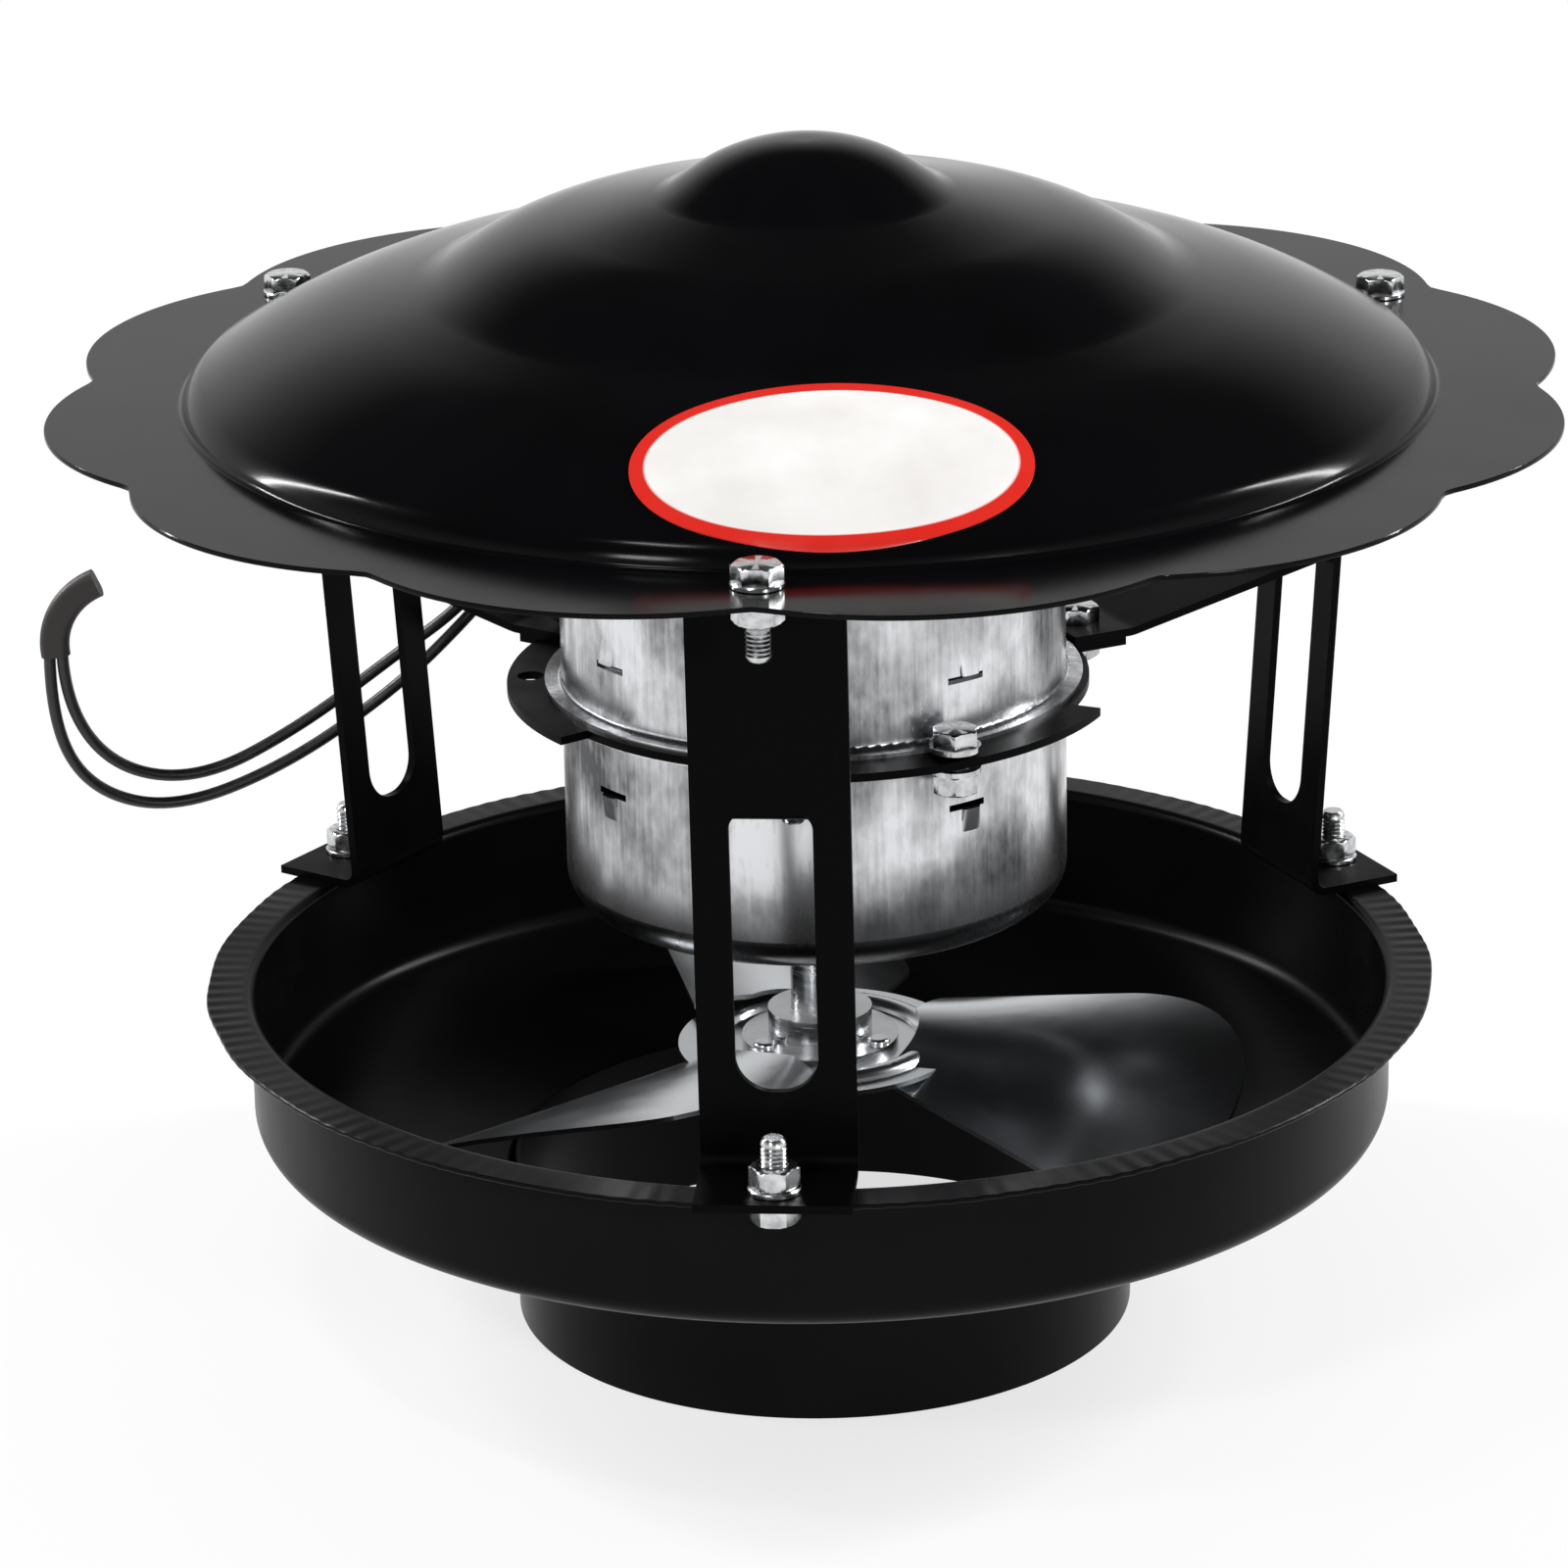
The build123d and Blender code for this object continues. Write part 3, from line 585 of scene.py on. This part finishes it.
# %% Ring tree
def ring_tree():
    tree = bpy.data.node_groups.new("set_out_round_axis", "GeometryNodeTree")
    face = tree.interface
    face.new_socket("Geometry", in_out="INPUT", socket_type="NodeSocketGeometry")
    for name, kind in (("Radius", "Float"), ("Height", "Float"), ("Count", "Int"), ("Keep", "Int"),
                       ("Start", "Float"), ("Finish", "Material")):
        face.new_socket(name, in_out="INPUT", socket_type="NodeSocket" + kind)
    face.new_socket("Geometry", in_out="OUTPUT", socket_type="NodeSocketGeometry")
    given = add(tree, "NodeGroupInput").outputs
    circle = add(tree, "GeometryNodeMeshCircle", {"Vertices": given["Count"], "Radius": given["Radius"]})
    index = add(tree, "GeometryNodeInputIndex").outputs[0]
    kept = add(tree, "FunctionNodeCompare", {2: index, 3: given["Keep"]}, data_type="INT",
               operation="LESS_THAN")
    step = add(tree, "ShaderNodeMath", {0: 2 * math.pi, 1: given["Count"]}, operation="DIVIDE").outputs[0]
    turn = add(tree, "ShaderNodeMath", {0: index, 1: step}, operation="MULTIPLY").outputs[0]
    facing = add(tree, "ShaderNodeCombineXYZ", {2: turn}).outputs[0]
    copies = add(tree, "GeometryNodeInstanceOnPoints",
                 {"Points": circle.outputs[0], "Selection": kept.outputs[0], "Instance": given["Geometry"],
                  "Rotation": facing})
    solid = add(tree, "GeometryNodeRealizeInstances", {0: copies.outputs[0]})
    lift = add(tree, "ShaderNodeCombineXYZ", {2: given["Height"]}).outputs[0]
    start = add(tree, "ShaderNodeCombineXYZ", {2: given["Start"]}).outputs[0]
    placed = add(tree, "GeometryNodeTransform",
                 {"Geometry": solid.outputs[0], "Translation": lift, "Rotation": start})
    dressed = add(tree, "GeometryNodeSetMaterial",
                  {"Geometry": placed.outputs[0], "Material": given["Finish"]})
    add(tree, "NodeGroupOutput", {0: dressed.outputs[0]})
    return tree


RING_TREE = ring_tree()


def ring_of(name, mesh, material, smooth_deg=32, **sizes):
    """One piece with copies of a mesh set out round the axis."""
    source = bpy.data.objects.new(name + "_one", mesh)
    scene.collection.objects.link(source)
    modifier = source.modifiers.new("set_out", "NODES")
    modifier.node_group = RING_TREE
    sizes["Finish"] = material
    for socket in RING_TREE.interface.items_tree:
        if socket.in_out == "INPUT" and socket.name in sizes:
            modifier[socket.identifier] = sizes[socket.name]
    source.update_tag()
    ready = source.evaluated_get(bpy.context.evaluated_depsgraph_get())
    result = bpy.data.meshes.new_from_object(ready)
    result.name = name
    source.modifiers.remove(modifier)
    bpy.data.objects.remove(source)
    return piece(name, result, material, smooth_deg)


print("tree nodes:", len(RING_TREE.nodes))

# %% [markdown]
# A bolt is a chamfered hexagon on a threaded shank. The thread is a row of ridges one millimetre apart,
# which at this size looks the same as a helix. Bolt, nut and washer are stacks of rings: a hexagon is a ring
# with six sides, and a chamfer cone cuts its corners back.

# %% Screws
BOLT_R = 3.0 * MM
HEX_FLAT = 10.0 * MM
HEAD_H = 4.0 * MM
NUT_H = 5.0 * MM
WASHER_R = 6.0 * MM
WASHER_T = 1.2 * MM
THREAD_PITCH = 1.0 * MM
THREAD_DEPTH = 0.35 * MM
HEX_SEGMENTS = 48
CHAMFER_FROM = 0.96
CHAMFER_FLARE = 1.4
CHAMFER_DROP = 0.75
CHAMFER_SHARES = (0.0, 0.35, 0.7, 1.0)
HEAD_EASE = 0.99
HEAD_EDGE = 0.1 * MM
TIP_FROM = 0.4 * MM
TIP_IN = 0.8 * MM
THREAD_STOP = 0.5 * MM
NUT_CLEAR = 0.05 * MM
NUT_SINK = 0.3 * MM
WASHER_CLEAR = 0.2 * MM
WASHER_SOFT = 0.25 * MM


def hex_radius(angle):
    """Distance from the middle of a hexagon to its side, one flat facing the axis."""
    sector = math.pi / 3
    off = (angle + sector / 2) % sector - sector / 2
    return HEX_FLAT / 2 / math.cos(off)


def add_rings(made, rows):
    """Joins rows of radius functions and heights into a closed skin."""
    loops = []
    for reach, z in rows:
        loop = []
        for k in range(HEX_SEGMENTS):
            angle = 2 * math.pi * k / HEX_SEGMENTS
            loop.append(made.verts.new((reach(angle) * math.cos(angle), reach(angle) * math.sin(angle), z)))
        loops.append(loop)
    for near, far in zip(loops, loops[1:]):
        for k in range(HEX_SEGMENTS):
            j = (k + 1) % HEX_SEGMENTS
            made.faces.new((near[k], near[j], far[j], far[k]))


def hex_rows(height, low, chamfer_low):
    """Rows of a hexagon with its upper corners chamfered, and its lower ones where that is asked for."""
    cut = HEX_FLAT / math.sqrt(3) - HEX_FLAT / 2

    def cone(share):
        return lambda a: min(hex_radius(a), HEX_FLAT / 2 * CHAMFER_FROM + share * cut * CHAMFER_FLARE)

    if chamfer_low:
        rows = [(cone(share), low + share * cut * CHAMFER_DROP) for share in CHAMFER_SHARES]
    else:
        rows = [(lambda a: hex_radius(a) * HEAD_EASE, low), (hex_radius, low + HEAD_EDGE)]
    high = low + height
    return rows + [(cone(share), high - share * cut * CHAMFER_DROP) for share in CHAMFER_SHARES[::-1]]


def round_row(radius, z):
    return (lambda a: radius, z)


def thread_rows(low, high):
    rows = []
    turns = int((high - low) / THREAD_PITCH)
    for k in range(turns):
        z = high - k * THREAD_PITCH
        rows.append(round_row(BOLT_R - THREAD_DEPTH, z))
        rows.append(round_row(BOLT_R, z - THREAD_PITCH / 2))
    return rows


def finish_mesh(name, made, flip=False):
    if flip:
        bmesh.ops.rotate(made, verts=made.verts, cent=(0, 0, 0), matrix=Matrix.Rotation(math.pi, 3, "X"))
    bmesh.ops.remove_doubles(made, verts=made.verts, dist=MERGE)
    bmesh.ops.recalc_face_normals(made, faces=made.faces)
    mesh = bpy.data.meshes.new(name)
    made.to_mesh(mesh)
    made.free()
    return mesh


def bolt_mesh(length, flip=False):
    made = bmesh.new()
    rows = [round_row(0.0, HEAD_H)] + hex_rows(HEAD_H, 0, False)[::-1]
    rows += thread_rows(-length + THREAD_STOP, 0)
    rows += [round_row(BOLT_R - THREAD_DEPTH, -length + TIP_FROM), round_row(BOLT_R - TIP_IN, -length),
             round_row(0.0, -length)]
    add_rings(made, rows)
    return finish_mesh("bolt", made, flip)


def nut_mesh(flip=False):
    made = bmesh.new()
    bore = BOLT_R + NUT_CLEAR
    rows = [round_row(bore, 0)] + hex_rows(NUT_H, 0, True) + [round_row(bore + NUT_SINK, NUT_H)]
    rows += [round_row(bore, NUT_H - NUT_SINK), round_row(bore, 0)]
    add_rings(made, rows)
    return finish_mesh("nut", made, flip)


def washer_mesh():
    made = bmesh.new()
    bore = BOLT_R + WASHER_CLEAR
    soft = WASHER_R - WASHER_SOFT
    add_rings(made, [round_row(bore, 0), round_row(soft, 0), round_row(WASHER_R, WASHER_SOFT),
                     round_row(WASHER_R, WASHER_T - WASHER_SOFT), round_row(soft, WASHER_T),
                     round_row(bore, WASHER_T), round_row(bore, 0)])
    return finish_mesh("washer", made)


# %% [markdown]
# Each kind of screw lies on one circle: three at the legs' tops, feet and arms, and two of three holes in
# the can flanges. A row gives the node, the mesh, the circle's radius and the height of the seat.

# %% Screws in place
LEG_START = math.radians(30)
CAN_START = math.radians(302.7)
PLATE_Z = 158.0 * MM
PLATE_TOP = 160.0 * MM
CAN_SHEET = 1.0 * MM
STRIP = 2.0 * MM
FOOT_R = 143.2 * MM
TOP_R = 155.0 * MM
ARM_R = 70.6 * MM
CAN_BOLT_R = 67.5 * MM
foot_top = RIM_Z + STRIP
flange_low = BRIM_Z - SHEET - STRIP
LEG_SCREWS = (
    ("cap_bolts", bolt_mesh(18 * MM), TOP_R, BRIM_Z + WASHER_T),
    ("cap_washers", washer_mesh(), TOP_R, BRIM_Z),
    ("cap_nuts", nut_mesh(True), TOP_R, flange_low),
    ("foot_bolts", bolt_mesh(16 * MM, True), FOOT_R, RIM_Z - SHEET),
    ("foot_washers", washer_mesh(), FOOT_R, foot_top),
    ("foot_nuts", nut_mesh(), FOOT_R, foot_top + WASHER_T),
    ("arm_bolts", bolt_mesh(14 * MM), ARM_R, PLATE_TOP + STRIP),
    ("arm_nuts", nut_mesh(True), ARM_R, PLATE_Z),
)
CAN_SCREWS = (
    ("can_bolts", bolt_mesh(12 * MM), CAN_BOLT_R, PLATE_TOP + CAN_SHEET + WASHER_T),
    ("can_nuts", nut_mesh(True), CAN_BOLT_R, PLATE_Z - CAN_SHEET - WASHER_T),
)
for screws, keep, start in ((LEG_SCREWS, 3, LEG_START), (CAN_SCREWS, 2, CAN_START)):
    for node, mesh, radius, height in screws:
        made = ring_of("zinc_" + node, mesh, zinc_plate, Radius=radius, Height=height, Count=3, Keep=keep,
                       Start=start)
        stand_for(made, "zinc_screws", "housing", node)

# %% [markdown]
# Four lanced tongues on each can grip the core inside. The slit is cut in the solid, and here the tongue
# beside it stands out from the wall: highest at the slit, and level with the sheet at its root.

# %% Lanced tongues
CAN_WALL_R = 60.0 * MM
TONGUE_W = 5.5 * MM
TONGUE_LENGTH = 6.0 * MM
TONGUE_RISE = 1.1 * MM
TONGUE_STEPS = 10
TONGUE_SHARES = (0, 0.08, 0.3, 0.55, 0.8, 1)
TONGUE_SQUARE = 6
TONGUE_SUNK = 0.06 * MM
TONGUE_BACK = 0.4 * MM
TONGUE_START = math.radians(41)
SLIT_DROP = 14.5 * MM
SLIT_H = 1.6 * MM


def tongue_mesh(side):
    """A pushed-out tongue; side is 1 for a tongue over its slit and -1 for one under it."""
    made = bmesh.new()
    rows = []
    for k in range(TONGUE_STEPS + 1):
        across = 2 * k / TONGUE_STEPS - 1
        turn = across * TONGUE_W / 2 / CAN_WALL_R
        row = []
        for share in TONGUE_SHARES:
            out = TONGUE_RISE * (1 - share) * (1 - across**TONGUE_SQUARE) - TONGUE_SUNK
            radius = CAN_WALL_R + out
            z = side * (SLIT_H / 2 + share * TONGUE_LENGTH)
            row.append(made.verts.new((radius * math.cos(turn) - CAN_WALL_R, radius * math.sin(turn), z)))
        for share in (1, 0):
            back = (-TONGUE_BACK, CAN_WALL_R * math.sin(turn), side * (SLIT_H / 2 + share * TONGUE_LENGTH))
            row.append(made.verts.new(back))
        rows.append(row)
    for near, far in zip(rows, rows[1:]):
        for i in range(len(near)):
            made.faces.new((near[i - 1], near[i], far[i], far[i - 1]))
    made.faces.new(rows[0])
    made.faces.new(rows[-1])
    return finish_mesh("tongue", made)


TONGUES = (("upper_tongues", 1, PLATE_TOP + SLIT_DROP), ("lower_tongues", -1, PLATE_Z - SLIT_DROP))
for name, side, height in TONGUES:
    made = ring_of(name, tongue_mesh(side), galvanised, 40, Radius=CAN_WALL_R, Height=height, Count=4,
                   Keep=4, Start=TONGUE_START)
    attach(made, "housing")
    print(name, "faces", len(made.data.polygons))

# %% [markdown]
# The other solids already have the right shape. They keep their meshes and only take a finish.

# %% Finishes for the solids that stay
FINISHES = {
    paint: ("front_leg", "right_leg", "left_leg", "front_arm", "right_arm", "left_arm", "motor_plate"),
    galvanised: ("upper_can", "lower_can"),
    zinc_plate: ("can_washers",),
    rolled_aluminium: ("fan_blades", "hub_rivets"),
    ground_steel: ("motor_shaft", "fan_hub", "set_screw"),
    core_steel: ("stator_core", "rotor_core"),
    copper: ("stator_coils",),
    bronze: ("upper_bearing", "lower_bearing"),
    lead_pvc: ("lead_grommet",),
    sleeve_rubber: ("lead_sleeve",),
}
for material, names in FINISHES.items():
    for name in names:
        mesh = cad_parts[name].data
        mesh.materials.clear()
        mesh.materials.append(material)
    print(material.name, "on", ", ".join(names))

# %% [markdown]
# The studio is a white sweep. Close to the object the floor is plain white paint that takes a soft shadow,
# and further out it fades to pure white. Black enamel shows only what it reflects, so the light comes from
# tall soft boxes at the sides, a white surround near the horizon, and a darker ceiling.

# %% Studio
FLOOR_SIZE = 6.0
FADE_FROM = 0.1
FADE_TO = 0.3
WHITE_NEAR = 0.7
ROOM_LEVEL = 0.45
HORIZON_TO = 0.3
CEILING_FROM = 0.58
CEILING_LEVEL = 0.05


def studio_floor():
    mesh = bpy.data.meshes.new("studio_floor")
    half = FLOOR_SIZE / 2
    corners = [(-half, -half, 0), (half, -half, 0), (half, half, 0), (-half, half, 0)]
    mesh.from_pydata(corners, [], [(0, 1, 2, 3)])
    material, tree, shader = new_finish("white_floor_paint")
    shader.inputs["Base Color"].default_value = linear("#F4F4F4")
    shader.inputs["Roughness"].default_value = 0.9
    shader.inputs["Specular IOR Level"].default_value = 0.1
    coords = add(tree, "ShaderNodeTexCoord")
    away = add(tree, "ShaderNodeVectorMath", {0: coords.outputs["Object"]}, operation="LENGTH")
    fade = add(tree, "ShaderNodeMapRange",
               {"Value": away.outputs["Value"], 1: FADE_FROM, 2: FADE_TO, 3: WHITE_NEAR, 4: 1.0})
    rays = add(tree, "ShaderNodeLightPath").outputs
    seen = rays["Is Camera Ray"]
    for kind in ("Is Glossy Ray", "Is Transmission Ray"):
        seen = add(tree, "ShaderNodeMath", {0: seen, 1: rays[kind]}, operation="MAXIMUM").outputs[0]
    share = add(tree, "ShaderNodeMath", {0: fade.outputs[0], 1: seen}, operation="MULTIPLY").outputs[0]
    white = add(tree, "ShaderNodeEmission", {0: (1, 1, 1, 1), 1: 1.0})
    mixed = add(tree, "ShaderNodeMixShader", {0: share, 1: shader.outputs[0], 2: white.outputs[0]})
    tree.links.new(mixed.outputs[0], tree.nodes["Material Output"].inputs[0])
    mesh.materials.append(material)
    floor = bpy.data.objects.new("studio_floor", mesh)
    scene.collection.objects.link(floor)


def studio_world():
    world = bpy.data.worlds.new("studio_world")
    world.use_nodes = True
    scene.world = world
    tree = world.node_tree
    coords = add(tree, "ShaderNodeTexCoord")
    height = add(tree, "ShaderNodeSeparateXYZ", {0: coords.outputs["Generated"]}).outputs[2]
    bright = add(tree, "ShaderNodeMapRange",
                 {"Value": height, 1: HORIZON_TO, 2: CEILING_FROM, 3: 1.0, 4: CEILING_LEVEL}).outputs[0]
    rays = add(tree, "ShaderNodeLightPath").outputs
    dimmed = add(tree, "ShaderNodeMath", {0: bright, 1: ROOM_LEVEL}, operation="MULTIPLY").outputs[0]
    surround = add(tree, "ShaderNodeMix", {0: rays["Is Glossy Ray"], 2: dimmed, 3: bright}, data_type="FLOAT")
    seen = add(tree, "ShaderNodeMath", {0: rays["Is Camera Ray"], 1: rays["Is Transmission Ray"]},
               operation="MAXIMUM")
    level = add(tree, "ShaderNodeMix", {0: seen.outputs[0], 2: surround.outputs[0], 3: 1.0},
                data_type="FLOAT").outputs[0]
    tree.links.new(level, tree.nodes["Background"].inputs["Strength"])
    tree.nodes["Background"].inputs["Color"].default_value = (1, 1, 1, 1)


def soft_box(name, place, size, power):
    data = bpy.data.lights.new(name, "AREA")
    data.shape = "RECTANGLE"
    data.size, data.size_y = size
    data.energy = power
    lamp = bpy.data.objects.new(name, data)
    scene.collection.objects.link(lamp)
    lamp.location = place
    lamp.rotation_euler = (MIDDLE - Vector(place)).to_track_quat("-Z", "Y").to_euler()
    lamp.visible_camera = False
    print(name, power, "W")


MIDDLE = Vector((0, 0, 0.15))
LAMPS = (
    ("key_box", (-0.75, -1.5, 1.25), (0.3, 0.24), 11),
    ("fill_box", (1.0, -1.4, 0.62), (0.25, 0.25), 11),
    ("top_box", (-0.4, -0.5, 1.45), (0.2, 0.07), 2.5),
    ("left_strip", (-1.2, 0.35, 0.8), (0.05, 0.8), 18),
    ("right_strip", (1.2, 0.4, 0.85), (0.05, 0.8), 19),
)
studio_floor()
studio_world()
for lamp in LAMPS:
    soft_box(*lamp)
